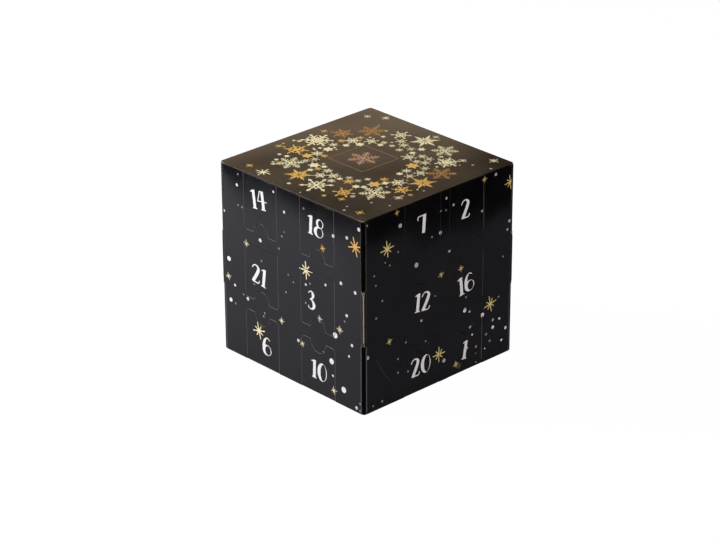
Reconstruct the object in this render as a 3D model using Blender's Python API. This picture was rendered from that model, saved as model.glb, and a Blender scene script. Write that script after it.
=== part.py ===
# Chocolate advent calendar: a cube carton of thin printed board, glued shut at top and bottom.
# Each of its four walls has six die-cut doors with half-moon thumb cuts, and behind each wall lies
# a thermoformed tray whose six cavities hold the moulded chocolates.
# Metres, +Z up. The origin is the middle of the base, on the table. The front wall faces -Y.
import bpy
import bmesh
from math import atan2, cos, pi, sin, sqrt, tan, radians
from mathutils import Matrix, Vector

MM = 0.001

# Carton
SIDE = 120 * MM             # width and depth over the flat walls
HEIGHT = 120 * MM           # height over the top panel
BOARD = 0.55 * MM           # thickness of the board
SLIT = 0.3 * MM             # width of a cut or of an open crease
LAYER_GAP = 0.3 * MM        # clearance between two layers that lie on each other
SPINE_WIDTH = 3.1 * MM      # strip between the two creases of each upright corner
SPINE_RIDGE = 0.5 * MM      # how far its bowed middle stays behind the planes of the walls
TAB_LENGTH = 0.2825 * HEIGHT    # stretch of each corner where the strip is cut away: 33.9 mm
TAB_TAPER = 3.7 * MM        # slanted end of the corner tab
TAB_BEVEL = 0.45 * MM       # taken off the sharp corner where two walls' tabs meet
FLAP_DEPTH = 27 * MM        # top glue flaps, from their fold
FLAP_END = 2.5 * MM         # how far a flap's fold stays back from the corner
FLAP_CORNER = 4 * MM        # radius of a flap's free corners

# Doors. The front and back walls have wide-set columns, the right and left walls close-set ones.
DOOR_WIDTH = 28 * MM
DOOR_CORNER = 1.8 * MM      # radius of a door's two free corners
THUMB_WIDTH = 13 * MM       # half-moon at the middle of a door's free edge
THUMB_HEIGHT = 7 * MM
WIDE_LEFT_COLUMN = 25.5 * MM    # middle of a column, to the left of the middle of the wall
WIDE_RIGHT_COLUMN = 22.2 * MM   # and to the right
WIDE_TOP_EDGE = 0.296 * HEIGHT      # free edge of the top row, below the top of the box: 35.5 mm
WIDE_MIDDLE_DROP = 0.0133 * HEIGHT  # middle of the middle row, below the middle of the box: 1.6 mm
WIDE_MIDDLE_LENGTH = 0.286 * HEIGHT     # 34.3 mm
WIDE_BOTTOM_EDGE = 0.275 * HEIGHT   # free edge of the bottom row, above the table: 33 mm
CLOSE_LEFT_COLUMN = 14 * MM
CLOSE_RIGHT_COLUMN = 21.5 * MM
CLOSE_TOP_EDGE = 0.307 * HEIGHT     # 36.8 mm
CLOSE_MIDDLE_DROP = 0.025 * HEIGHT  # 3 mm
CLOSE_MIDDLE_LENGTH = 0.2875 * HEIGHT   # 34.5 mm
CLOSE_BOTTOM_EDGE = 0.26 * HEIGHT   # 31.2 mm

# Thermoformed trays
TRAY_SHEET = 0.4 * MM       # thickness of the plastic
TRAY_MARGIN = 3.5 * MM      # how far a tray stays back from the box's upright corners
TRAY_CORNER = 3 * MM
CAVITY_SIDE_MARGIN = 2.5 * MM   # from a door's sides in to its cavity
CAVITY_END_MARGIN = 3.1 * MM    # from the shortest door's ends in to its cavity
CAVITY_DEPTH = 14 * MM
CAVITY_CORNER = 4.5 * MM
CAVITY_DRAFT = 5            # slope of the cavity's sides, in degrees
FLOOR_RADIUS = 1.5 * MM     # where the cavity's sides turn into its floor

# Moulded chocolates
CHOCOLATE_THICKNESS = 7.6 * MM  # without the raised star
CHOCOLATE_CLEARANCE = 0.4 * MM  # to the cavity's sides
CHOCOLATE_BEVEL = 1.2 * MM
STAR_RADIUS = 6.6 * MM
STAR_INNER_RADIUS = 3 * MM
STAR_HEIGHT = 0.8 * MM
STAR_CROWN = 0.5 * MM       # how far its middle rises over its points

CORNER_STEPS = 3            # segments in a quarter circle of a cut or a cavity
THUMB_STEPS = 8             # segments in a half-moon
CHOCOLATE_STEPS = 2
STAR_POINTS = 5

SPINE_LEG = SPINE_WIDTH / sqrt(2)               # what the strip takes off each wall
SPINE_SLOPE = atan2(SPINE_RIDGE, SPINE_LEG - SPINE_RIDGE)   # turn from a wall to its half of the strip
FOLD_HEIGHT = HEIGHT - BOARD - LAYER_GAP        # top of the three walls that lie under the top panel
MITRE = SLIT / sqrt(2)                          # how far a mitred edge stays back from its fold line
TRAY_FACE = BOARD + LAYER_GAP                   # front of a tray, behind the outside of its wall
CAVITY_WIDTH = DOOR_WIDTH - 2 * CAVITY_SIDE_MARGIN              # at the mouth: 23 mm
CAVITY_HEIGHT = CLOSE_BOTTOM_EDGE - 2 * CAVITY_END_MARGIN       # at the mouth: 25 mm

WALLS = ("front", "right", "back", "left")
QUARTER_TURNS = ((1, 0), (0, 1), (-1, 0), (0, -1))  # cosine and sine from the front wall to each wall
NUMBERS = {
    "front": ((14, 18), (21, 3), (6, 10)),
    "right": ((7, 2), (12, 16), (20, 1)),
    "back": ((9, 22), (15, 4), (24, 11)),
    "left": ((5, 19), (23, 8), (13, 17)),
}

COLOURS = {
    "board": ((0.028, 0.026, 0.029), 0.42),
    "top_board": ((0.034, 0.029, 0.024), 0.42),
    "tray": ((0.55, 0.42, 0.16), 0.25),
    "chocolate": ((0.075, 0.028, 0.013), 0.4),
}


def wall_top(wall):
    """Height of a wall's top fold. The top panel is folded over from the right wall."""
    return HEIGHT if wall == "right" else FOLD_HEIGHT


def door_places():
    """One entry for each door: where its crease is, how long it is and which way it hangs."""
    places = []
    for wall in WALLS:
        wide = wall in ("front", "back")
        if wide:
            columns = (-WIDE_LEFT_COLUMN, WIDE_RIGHT_COLUMN)
        else:
            columns = (-CLOSE_LEFT_COLUMN, CLOSE_RIGHT_COLUMN)
        top_edge = HEIGHT - (WIDE_TOP_EDGE if wide else CLOSE_TOP_EDGE)
        middle = HEIGHT / 2 - (WIDE_MIDDLE_DROP if wide else CLOSE_MIDDLE_DROP)
        middle_length = WIDE_MIDDLE_LENGTH if wide else CLOSE_MIDDLE_LENGTH
        bottom_edge = WIDE_BOTTOM_EDGE if wide else CLOSE_BOTTOM_EDGE
        middle_crease = middle + middle_length / 2 * (1 if wide else -1)
        rows = (
            {"crease": wall_top(wall), "length": wall_top(wall) - top_edge, "hangs": True, "folded": True},
            {"crease": middle_crease, "length": middle_length, "hangs": wide, "folded": False},
            {"crease": 0.0, "length": bottom_edge, "hangs": False, "folded": True},
        )
        for row, row_numbers in zip(rows, NUMBERS[wall]):
            for column, number in zip(columns, row_numbers):
                places.append(dict(row, number=number, wall=wall, column=column))
    return places


def door_middle(place):
    """Height of the middle of a door."""
    return place["crease"] + place["length"] / 2 * (-1 if place["hangs"] else 1)


def wall_turn(wall):
    """Turns the front wall's frame to a wall. Whole numbers keep the four walls' planes exact."""
    c, s = QUARTER_TURNS[WALLS.index(wall)]
    return Matrix(((c, -s, 0, 0), (s, c, 0, 0), (0, 0, 1, 0), (0, 0, 0, 1)))


def on_wall(wall, loop):
    """Takes points given along, behind and up the front wall to a wall."""
    c, s = QUARTER_TURNS[WALLS.index(wall)]
    half = SIDE / 2
    return [(c * x - s * (depth - half), s * x + c * (depth - half), z) for x, depth, z in loop]


def arc(centre, width, height, start, end, steps):
    """Points on an elliptical arc with these half axes, from one angle in degrees to another."""
    points = []
    for step in range(steps + 1):
        angle = radians(start + (end - start) * step / steps)
        points.append((centre[0] + width * cos(angle), centre[1] + height * sin(angle)))
    return points


def rounded(corners, radius, steps):
    """A closed outline, anticlockwise, with each convex corner turned into an arc."""
    points = []
    for index, corner in enumerate(corners):
        here = Vector(corner)
        before = (Vector(corners[index - 1]) - here).normalized()
        after = (Vector(corners[(index + 1) % len(corners)]) - here).normalized()
        half = before.angle(after) / 2
        centre = here + (before + after).normalized() * radius / sin(half)
        first = here + before * radius / tan(half) - centre
        turn = pi - 2 * half
        start = atan2(first.y, first.x)
        for step in range(steps + 1):
            angle = start + turn * step / steps
            points.append((centre.x + radius * cos(angle), centre.y + radius * sin(angle)))
    return points


def rounded_rectangle(width, height, radius, steps):
    x, z = width / 2, height / 2
    return rounded([(-x, -z), (x, -z), (x, z), (-x, z)], radius, steps)


def add_prism(mesh, near, far):
    """Closes two outlines of 3-D points, given anticlockwise as seen from the near side."""
    near_loop = [mesh.verts.new(point) for point in near]
    far_loop = [mesh.verts.new(point) for point in far]
    mesh.faces.new(near_loop)
    mesh.faces.new(list(reversed(far_loop)))
    count = len(near_loop)
    for index in range(count):
        following = (index + 1) % count
        mesh.faces.new((near_loop[index], far_loop[index], far_loop[following], near_loop[following]))


def stand(outline, depth):
    """Lifts an outline into the plane of the front wall, at this depth behind its outside."""
    return [(x, depth, z) for x, z in outline]


def lay(outline, height):
    return [(x, y, height) for x, y in outline]


def add_stack(mesh, loops, close_first=True, close_last=True):
    """Skins a row of outlines that have the same number of points."""
    rings = [[mesh.verts.new(point) for point in loop] for loop in loops]
    for ring, following in zip(rings, rings[1:]):
        count = len(ring)
        for index in range(count):
            after = (index + 1) % count
            mesh.faces.new((ring[index], following[index], following[after], ring[after]))
    if close_first:
        mesh.faces.new(rings[0])
    if close_last:
        mesh.faces.new(list(reversed(rings[-1])))
    return rings


def door_loops(place, near, far, grow):
    """The near and far outlines of a door, or with grow of its window, from the middle of its crease.

    At a fold of the box the crease edge is mitred, so that the door meets the flap at 45 degrees.
    """
    half = DOOR_WIDTH / 2 + grow
    free = -place["length"] - grow
    corner = DOOR_CORNER + grow
    gap = MITRE if place["folded"] else SLIT / 2
    crease = gap if grow else -gap
    free_edge = arc((-half + corner, free + corner), corner, corner, 180, 270, CORNER_STEPS)
    free_edge += arc((0, free), THUMB_WIDTH / 2 - grow, THUMB_HEIGHT, 180, 0, THUMB_STEPS)
    free_edge += arc((half - corner, free + corner), corner, corner, 270, 360, CORNER_STEPS)
    up = 1 if place["hangs"] else -1
    loops = []
    for depth in (near, far):
        edge = crease - depth if place["folded"] else crease
        outline = [(-half, edge)] + free_edge + [(half, edge)]
        loops.append([(x, depth, up * z) for x, z in outline])
    return loops


def square(side):
    half = side / 2
    return [(-half, -half), (half, -half), (half, half), (-half, half)]


def finished_mesh(name, mesh):
    bmesh.ops.recalc_face_normals(mesh, faces=mesh.faces)
    data = bpy.data.meshes.new(name)
    mesh.to_mesh(data)
    mesh.free()
    return data


def add_object(name, data, material=None, matrix=Matrix()):
    thing = bpy.data.objects.new(name, data)
    bpy.context.scene.collection.objects.link(thing)
    thing.matrix_world = matrix
    if material:
        data.materials.append(material)
    return thing


def cut(thing, name, add_shape, keep=None):
    """Takes a shape away from an object, all but what keep adds."""
    mesh = bmesh.new()
    add_shape(mesh)
    cutter = add_object("cut_" + name, finished_mesh("cut_" + name, mesh))
    cutter.hide_render = True
    cutter.display_type = "WIRE"
    if keep:
        cut(cutter, name + "_keep", keep)
    modifier = thing.modifiers.new(name, "BOOLEAN")
    modifier.operation = "DIFFERENCE"
    modifier.solver = "EXACT"
    modifier.object = cutter


def make_material(name):
    colour, roughness = COLOURS[name]
    material = bpy.data.materials.new(name)
    material.use_nodes = True
    shader = material.node_tree.nodes["Principled BSDF"]
    shader.inputs["Base Color"].default_value = (*colour, 1)
    shader.inputs["Roughness"].default_value = roughness
    shader.inputs["Metallic"].default_value = 0
    return material


def make_carton(material):
    """Walls, bottom and inner top flaps. They are one folded blank, glued at the bottom and one corner.

    It is a block cut down to its board: outside corners, inside, top, and then the windows.
    """
    mesh = bmesh.new()
    add_prism(mesh, lay(square(SIDE), HEIGHT + BOARD), lay(square(SIDE), 0))
    carton = add_object("carton", finished_mesh("carton", mesh), material)
    cut(carton, "outside_corners", lambda mesh: add_corner_strips(mesh, SIDE / 2, SPINE_LEG, SPINE_RIDGE, 0))
    cut(carton, "tab_corners", add_tab_corners)
    cut(carton, "inside", add_inside, keep=add_inner_pieces)
    cut(carton, "top", add_top)
    cut(carton, "top_mitre", add_top_mitre)
    cut(carton, "windows", add_windows)
    return carton


def add_corner_strips(mesh, half, leg, ridge, spare):
    """What the ridged corner strips take off a square's corners, above and below the corner tabs."""
    out = half + BOARD
    end = half - leg - BOARD * (leg - ridge) / ridge
    corner = [(out, end), (out, out), (end, out), (half - ridge, half - ridge)]
    tab_low = (HEIGHT - TAB_LENGTH) / 2 - spare
    tab_high = (HEIGHT + TAB_LENGTH) / 2 + spare
    for c, s in QUARTER_TURNS:
        outline = [(c * x - s * y, s * x + c * y) for x, y in corner]
        for low, high in ((-BOARD, tab_low), (tab_high, HEIGHT + 3 * BOARD)):
            add_prism(mesh, lay(outline, high), lay(outline, low))


def add_tab_corners(mesh):
    out = SIDE / 2 + BOARD
    end = SIDE / 2 - TAB_BEVEL - BOARD
    tab = TAB_LENGTH / 2 + SLIT
    for c, s in QUARTER_TURNS:
        outline = [(c * x - s * y, s * x + c * y) for x, y in ((out, end), (out, out), (end, out))]
        add_prism(mesh, lay(outline, HEIGHT / 2 + tab), lay(outline, HEIGHT / 2 - tab))


def add_inside(mesh):
    inside = square(SIDE - 2 * BOARD)
    add_prism(mesh, lay(inside, HEIGHT + 2 * BOARD), lay(inside, BOARD))


def add_inner_pieces(mesh):
    """What stays of the inside: the back of the corner strips, and the glue flaps on three top folds."""
    inner_leg = SPINE_LEG - BOARD * (1 - tan(SPINE_SLOPE / 2))
    inner_ridge = SPINE_RIDGE - BOARD * (1 - 1 / (sqrt(2) * cos(pi / 4 - SPINE_SLOPE)))
    add_corner_strips(mesh, SIDE / 2 - BOARD, inner_leg, inner_ridge, SLIT)
    fold = SIDE / 2 - FLAP_END
    tip = fold - FLAP_DEPTH
    corners = [(-fold, 0), (fold, 0), (tip, FLAP_DEPTH), (-tip, FLAP_DEPTH)]
    outline = corners[:2] + rounded(corners, FLAP_CORNER, CORNER_STEPS)[2 * (CORNER_STEPS + 1):]
    for wall in ("front", "back", "left"):
        loops = [[(x, depth, z) for x, depth in outline] for z in (HEIGHT + 3 * BOARD, FOLD_HEIGHT - BOARD)]
        add_prism(mesh, *(on_wall(wall, loop) for loop in loops))


def add_top(mesh):
    """Everything over the three lower walls, all but the right wall's strip below the top panel's fold."""
    out = SIDE / 2 + BOARD
    strip = SIDE / 2 - SPINE_LEG - SLIT
    inner = SIDE / 2 - 2 * BOARD
    outline = [(-out, -out), (out, -out), (out, -strip), (inner, -strip), (inner, strip), (out, strip),
               (out, out), (-out, out)]
    add_prism(mesh, lay(outline, HEIGHT + 2 * BOARD), lay(outline, FOLD_HEIGHT))


def add_top_mitre(mesh):
    """The slanted top edge of the right wall, which meets the top panel at 45 degrees."""
    strip = SIDE / 2 - SPINE_LEG - SLIT / 2
    high = HEIGHT + 4 * BOARD
    loops = []
    for depth in (-BOARD, 2 * BOARD):
        low = HEIGHT - MITRE - depth
        outline = [(-strip, low), (strip, low), (strip, high), (-strip, high)]
        loops.append(on_wall("right", stand(outline, depth)))
    add_prism(mesh, *loops)


def add_windows(mesh):
    """The doors' windows, and the slanted ends of the corner tabs."""
    reach = BOARD + 1.2 * MITRE  # at a fold, just through the flap's underside
    for place in door_places():
        loops = []
        for loop in door_loops(place, -BOARD, reach, SLIT):
            moved = [(x + place["column"], depth, z + place["crease"]) for x, depth, z in loop]
            loops.append(on_wall(place["wall"], moved))
        add_prism(mesh, *loops)
    for wall in WALLS:
        add_tab_end(mesh, wall, (HEIGHT + TAB_LENGTH) / 2, -1)
        add_tab_end(mesh, wall, (HEIGHT - TAB_LENGTH) / 2, 1)


def add_tab_end(mesh, wall, end, sign):
    """The slanted end of a wall's corner tab, cut through that wall's board alone."""
    root = SIDE / 2 - SPINE_LEG + SLIT / 2
    tip = root + 2 * SPINE_LEG
    slope = TAB_TAPER / SPINE_LEG
    high = end - sign * SLIT / 2
    outline = [(root, high), (root, end), (tip, end + sign * slope * (tip - root)), (tip, high)]
    if sign > 0:
        outline.reverse()
    add_prism(mesh, *(on_wall(wall, stand(outline, depth)) for depth in (-BOARD, BOARD * 1.05)))


def make_top_panel(material):
    """The outer top flap, folded over from the right wall and glued down on the other three."""
    half = SIDE / 2
    outline = []
    ridge = half - SPINE_RIDGE
    for c, s in QUARTER_TURNS:
        for x, y in ((half, SPINE_LEG - half), (half, half - SPINE_LEG), (ridge, ridge)):
            outline.append((c * x - s * y, s * x + c * y))
    fold = half - MITRE
    mesh = bmesh.new()
    high = [(min(x, fold), y, HEIGHT) for x, y in outline]
    low = [(min(x, fold - BOARD), y, HEIGHT - BOARD) for x, y in outline]
    add_prism(mesh, high, low)
    return add_object("top_panel", finished_mesh("top_panel", mesh), material)


def make_tray(wall, material):
    """A flat flange with six tapered cavities, one behind each door of its wall."""
    low = BOARD + LAYER_GAP
    high = FOLD_HEIGHT - BOARD - LAYER_GAP
    middle = (low + high) / 2
    mesh = bmesh.new()
    flange = rounded_rectangle(SIDE - 2 * TRAY_MARGIN, high - low, TRAY_CORNER, CORNER_STEPS)
    rim = [mesh.verts.new((x, 0, z)) for x, z in flange]
    edges = [mesh.edges.new((rim[index - 1], rim[index])) for index in range(len(rim))]
    for place in door_places():
        if place["wall"] == wall:
            loops = cavity_loops(place["column"], door_middle(place) - middle)
            mouth = add_stack(mesh, loops, close_first=False)[0]
            edges += [mesh.edges.get((mouth[index - 1], mouth[index])) for index in range(len(mouth))]
    bmesh.ops.triangle_fill(mesh, edges=edges, use_beauty=True)
    bmesh.ops.recalc_face_normals(mesh, faces=mesh.faces)
    flat = max(mesh.faces, key=lambda face: -face.calc_center_median().y)
    if flat.normal.y > 0:
        bmesh.ops.reverse_faces(mesh, faces=mesh.faces)
    data = bpy.data.meshes.new("tray_" + wall)
    mesh.to_mesh(data)
    mesh.free()
    place_on_wall = wall_turn(wall) @ Matrix.Translation((0, TRAY_FACE - SIDE / 2, middle))
    tray = add_object("tray_" + wall, data, material, place_on_wall)
    sheet = tray.modifiers.new("sheet", "SOLIDIFY")
    sheet.thickness = TRAY_SHEET
    sheet.offset = -1
    sheet.use_even_offset = True
    return tray


def cavity_size(depth, inset):
    """Width and height of a cavity at a depth below the flange, less an inset all round."""
    taper = 2 * (tan(radians(CAVITY_DRAFT)) * depth + inset)
    return CAVITY_WIDTH - taper, CAVITY_HEIGHT - taper


def cavity_loops(x, z):
    loops = []
    for depth, inset in ((0, 0), (CAVITY_DEPTH - FLOOR_RADIUS, 0), (CAVITY_DEPTH, FLOOR_RADIUS)):
        width, height = cavity_size(depth, inset)
        outline = rounded_rectangle(width, height, CAVITY_CORNER - inset, CORNER_STEPS)
        loops.append([(x + px, depth, z + pz) for px, pz in outline])
    return loops


def make_chocolate_mesh(material):
    """A bevelled block with a raised star. Its back follows the cavity's floor."""
    mesh = bmesh.new()
    back = CAVITY_DEPTH - LAYER_GAP
    front = back - CHOCOLATE_THICKNESS
    clear = CHOCOLATE_CLEARANCE
    levels = (
        (front, clear + CHOCOLATE_BEVEL),
        (front + CHOCOLATE_BEVEL, clear),
        (back - FLOOR_RADIUS, clear),
        (back, clear + FLOOR_RADIUS),
    )
    loops = []
    for depth, inset in levels:
        width, height = cavity_size(depth, inset)
        corner = CAVITY_CORNER - inset
        loops.append(stand(rounded_rectangle(width, height, corner, CHOCOLATE_STEPS), depth))
    rings = add_stack(mesh, loops, close_first=False)
    foot = []
    tips = []
    for index in range(2 * STAR_POINTS):
        radius = STAR_INNER_RADIUS if index % 2 else STAR_RADIUS
        angle = pi / 2 + index * pi / STAR_POINTS
        x, z = radius * cos(angle), radius * sin(angle)
        foot.append(mesh.verts.new((x, front, z)))
        tips.append(mesh.verts.new((x, front - STAR_HEIGHT, z)))
    crown = mesh.verts.new((0, front - STAR_HEIGHT - STAR_CROWN, 0))
    for index in range(2 * STAR_POINTS):
        mesh.faces.new((foot[index - 1], foot[index], tips[index], tips[index - 1]))
        mesh.faces.new((tips[index - 1], tips[index], crown))
    edges = [mesh.edges.get((foot[index - 1], foot[index])) for index in range(2 * STAR_POINTS)]
    edges += [mesh.edges.get((rings[0][index - 1], rings[0][index])) for index in range(len(rings[0]))]
    bmesh.ops.triangle_fill(mesh, edges=edges, use_beauty=True)
    data = finished_mesh("chocolate", mesh)
    data.materials.append(material)
    return data


def make_door(place, material):
    """One door, with its origin on the outside line of its crease."""
    name = "door_%02d" % place["number"]
    mesh = bmesh.new()
    add_prism(mesh, *door_loops(place, 0, BOARD, 0))
    at_crease = Matrix.Translation((place["column"], -SIDE / 2, place["crease"]))
    return add_object(name, finished_mesh(name, mesh), material, wall_turn(place["wall"]) @ at_crease)


def build():
    for thing in list(bpy.data.objects):
        bpy.data.objects.remove(thing, do_unlink=True)
    board = make_material("board")
    make_carton(board)
    make_top_panel(make_material("top_board"))
    tray_plastic = make_material("tray")
    for wall in WALLS:
        make_tray(wall, tray_plastic)
    chocolate = make_chocolate_mesh(make_material("chocolate"))
    for place in door_places():
        make_door(place, board)
        at_cavity = Matrix.Translation((place["column"], TRAY_FACE - SIDE / 2, door_middle(place)))
        name = "chocolate_%02d" % place["number"]
        add_object(name, chocolate, None, wall_turn(place["wall"]) @ at_cavity)


build()
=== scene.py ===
# Looks of the chocolate advent calendar: printed black carton board, foil and ink prints, gold
# thermoformed trays and moulded milk chocolates. Sizes in the settings are millimetres.
import bpy
import random
from math import cos, pi, radians, sin, sqrt
from mathutils import Matrix, Vector
from mathutils.geometry import delaunay_2d_cdt


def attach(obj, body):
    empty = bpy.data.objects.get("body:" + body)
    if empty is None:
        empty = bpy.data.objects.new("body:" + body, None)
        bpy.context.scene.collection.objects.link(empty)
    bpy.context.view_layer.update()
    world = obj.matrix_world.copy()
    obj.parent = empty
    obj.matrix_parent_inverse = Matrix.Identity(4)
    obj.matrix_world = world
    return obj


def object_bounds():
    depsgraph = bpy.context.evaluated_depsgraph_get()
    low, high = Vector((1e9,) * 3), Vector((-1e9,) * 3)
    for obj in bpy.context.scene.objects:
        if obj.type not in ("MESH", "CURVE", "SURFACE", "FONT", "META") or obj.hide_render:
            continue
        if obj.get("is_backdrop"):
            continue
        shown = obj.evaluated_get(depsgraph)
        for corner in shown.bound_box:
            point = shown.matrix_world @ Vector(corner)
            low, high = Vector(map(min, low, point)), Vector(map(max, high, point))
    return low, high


mm = 0.001

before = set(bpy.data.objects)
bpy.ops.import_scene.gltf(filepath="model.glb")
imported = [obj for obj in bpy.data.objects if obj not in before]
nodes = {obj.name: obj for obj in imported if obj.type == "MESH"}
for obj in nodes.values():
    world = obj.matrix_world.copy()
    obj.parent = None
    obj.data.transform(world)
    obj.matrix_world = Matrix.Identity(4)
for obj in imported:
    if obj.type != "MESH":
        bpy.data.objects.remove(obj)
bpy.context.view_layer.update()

box = {
    "side": 120,                # over the flat walls
    "board": 0.55,              # thickness
    "foldHeight": 119.15,       # top fold of the three walls that lie under the lid
    "spineLeg": 3.1 / sqrt(2),  # what the strip of an upright corner takes off each wall
    "spineRidge": 0.5,          # how far its bowed middle stays behind the walls
}
half = box["side"] / 2
wallTurns = {"front": (1, 0), "right": (0, 1), "back": (-1, 0), "left": (0, -1)}  # cosine and sine


# "#rrggbb" in sRGB to linear colour
def hexColour(text):
    channels = [int(text[start:start + 2], 16) / 255 for start in (1, 3, 5)]
    linear = [c / 12.92 if c <= 0.04045 else ((c + 0.055) / 1.055) ** 2.4 for c in channels]
    return (*linear, 1)


# A helper that adds nodes to a tree. Inputs go by name or number, and get a value, a "#rrggbb" colour, or
# a socket or a node to link, a node by its first output in use. Settings are its properties.
def nodeHelper(tree):
    def add(kind, inputs=None, **settings):
        node = tree.nodes.new("ShaderNode" + kind)
        for key, value in settings.items():
            setattr(node, key, value)
        for key, value in (inputs or {}).items():
            if isinstance(value, bpy.types.Node):
                value = next(socket for socket in value.outputs if socket.enabled)
            if isinstance(value, bpy.types.NodeSocket):
                tree.links.new(value, node.inputs[key])
            else:
                node.inputs[key].default_value = hexColour(value) if isinstance(value, str) else value
        return node

    tree.nodes.clear()
    return add


def newMaterial(name):
    material = bpy.data.materials.new(name)
    material.use_nodes = True
    return material, nodeHelper(material.node_tree)


def addObject(name, data):
    thing = bpy.data.objects.new(name, data)
    bpy.context.scene.collection.objects.link(thing)
    return thing


# Slots say which material each face has
def addMesh(name, points, faces, materials, slots=()):
    data = bpy.data.meshes.new(name)
    data.from_pydata(points, [], faces)
    for material in materials:
        data.materials.append(material)
    for polygon, slot in zip(data.polygons, slots):
        polygon.material_index = slot
    return addObject(name, data)


def rectangle(x1, y1, x2, y2):
    return [(x1, y1), (x2, y1), (x2, y2), (x1, y2)]


# A point from a face's lower left corner as seen from outside, and this far out of the face. The lid's
# print is upright for someone who faces the right wall.
def onFace(face, x, y, out):
    if face == "lid":
        return Vector((half - y, x - half, 2 * half + out)) * mm
    c, s = wallTurns[face]
    along, depth = x - half, -half - out
    return Vector((c * along - s * depth, s * along + c * depth, y)) * mm


print("frame loaded: %d nodes" % len(nodes))


# Camera: where the photograph was taken from, worked out from the box's seven visible corners
camera = {
    "azimuth": 46.66,
    "elevation": 25.11,
    "distance": 1581.5,     # from the middle of the box
    "across": -4.3,         # sideways and upwards from the line to the middle
    "up": -7.85,
    "roll": -0.26,
    "lens": 135.3,
    "sensor": 36,
}


def makeCamera():
    azimuth, elevation = radians(camera["azimuth"]), radians(camera["elevation"])
    back = Vector((sin(azimuth) * cos(elevation), -cos(azimuth) * cos(elevation), sin(elevation)))
    right = Vector((cos(azimuth), sin(azimuth), 0))
    up = back.cross(right)
    place = back * camera["distance"] + right * camera["across"] + up * camera["up"]
    data = bpy.data.cameras.new("photoCamera")
    data.lens = camera["lens"]
    data.sensor_width = camera["sensor"]
    data.clip_start = 0.01
    data.clip_end = 50
    thing = addObject("photoCamera", data)
    turn = Matrix((right, up, back)).transposed() @ Matrix.Rotation(radians(camera["roll"]), 3, "Z")
    thing.matrix_world = Matrix.Translation((place + Vector((0, 0, half))) * mm) @ turn.to_4x4()
    bpy.context.scene.camera = thing


# Studio: a pale table top in a white room, and soft boxes that look at the middle of the box. Black flags
# beside the table show only in the varnish: dark along the walls' tops, and behind the lid's warm glow.
studio = {
    "tableSize": 1800,
    "tablePaint": "#bebcc7",
    "tableWhite": 0.95,         # how much of the table the camera sees as plain white
    "tableGlow": 1.04,          # strength of that white, which makes up for the paint in the rest
    "velvet": "#080808",
    "roomLight": 0.02,          # what the room sends to dull surfaces
    "flags": (                  # name, lower corners, height
        ("rightFlag", (255, -45, 0), (40, 900, 0), 600),
        ("frontFlag", (-900, -228, 0), (150, -228, 0), 200),
        ("lidFlag", (-900, 100, 100), (-100, 900, 100), 700),
    ),
    "lamps": (                  # name, place, size, power in watts, colour
        ("keyBox", (-560, -420, 430), 360, 8.4, "#ffffff"),
        ("fillBox", (1450, -650, 230), 340, 13.3, "#fff8f4"),
        ("skyBox", (150, -150, 1500), 700, 4.8, "#ffffff"),
        ("lidBox", (-350, 295, 190), 220, 0.18, "#ffe0bc"),
    ),
}


# 1 for the kinds of rays that should meet plain white
def whiteRays(add, kinds):
    path = add("LightPath").outputs
    seen = path[kinds[0]]
    for kind in kinds[1:]:
        seen = add("Math", {0: seen, 1: path[kind]}, operation="MAXIMUM")
    return seen


# A flat sheet of four corners that belongs to the studio
def stageSheet(name, material, corners):
    thing = addMesh(name, [Vector(corner) * mm for corner in corners], [(0, 1, 2, 3)], [material])
    thing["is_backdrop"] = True
    return thing


def makeStudio():
    world = bpy.data.worlds.new("whiteRoom")
    bpy.context.scene.world = world
    world.use_nodes = True
    add = nodeHelper(world.node_tree)
    dim = add("Background", {"Color": "#ffffff", "Strength": studio["roomLight"]})
    white = add("Background", {"Color": "#ffffff", "Strength": 1})
    seen = whiteRays(add, ("Is Camera Ray", "Is Glossy Ray", "Is Transmission Ray"))
    add("OutputWorld", {"Surface": add("MixShader", {0: seen, 1: dim, 2: white})})

    # what the varnish mirrors of the table is its own paint, pale in the light and grey in the box's shade
    material, add = newMaterial("paintedTable")
    seen = whiteRays(add, ("Is Camera Ray", "Is Transmission Ray"))
    share = add("Math", {0: seen, 1: studio["tableWhite"]}, operation="MULTIPLY")
    paint = add("BsdfDiffuse", {"Color": studio["tablePaint"]})
    glow = add("Emission", {"Color": "#ffffff", "Strength": studio["tableGlow"]})
    add("OutputMaterial", {"Surface": add("MixShader", {0: share, 1: paint, 2: glow})})
    reach = studio["tableSize"] / 2
    stageSheet("tableTop", material, [(x, y, 0) for x, y in rectangle(-reach, -reach, reach, reach)])

    material, add = newMaterial("blackVelvet")
    add("OutputMaterial", {"Surface": add("BsdfDiffuse", {"Color": studio["velvet"]})})
    for name, start, end, high in studio["flags"]:
        start, end, rise = Vector(start), Vector(end), Vector((0, 0, high))
        flag = stageSheet(name, material, [start, end, end + rise, start + rise])
        flag.visible_camera = flag.visible_diffuse = flag.visible_shadow = False

    for name, place, size, power, colour in studio["lamps"]:
        data = bpy.data.lights.new(name, "AREA")
        data.shape = "SQUARE"
        data.size = size * mm
        data.energy = power
        data.color = hexColour(colour)[:3]
        lamp = addObject(name, data)
        lamp.visible_camera = False
        lamp.location = Vector(place) * mm
        lamp.rotation_euler = (Vector((0, 0, half * mm)) - lamp.location).to_track_quat("-Z", "Y").to_euler()


makeCamera()
makeStudio()
bpy.context.scene.view_settings.view_transform = "Standard"
print("camera and studio made")


# The last nodes of every finish: relief, shader with what is the same all over, output
def addFinish(add, colour, roughness, height, depth, plain):
    relief = add("Bump", {"Strength": 1, "Distance": depth * mm, "Height": height})
    shader = add("BsdfPrincipled", {"Base Color": colour, "Roughness": roughness, "Normal": relief, **plain})
    add("OutputMaterial", {"Surface": shader})


noiseSpan = {"From Min": 0.3, "From Max": 0.7}      # nearly all of a noise's values lie between these

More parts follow.
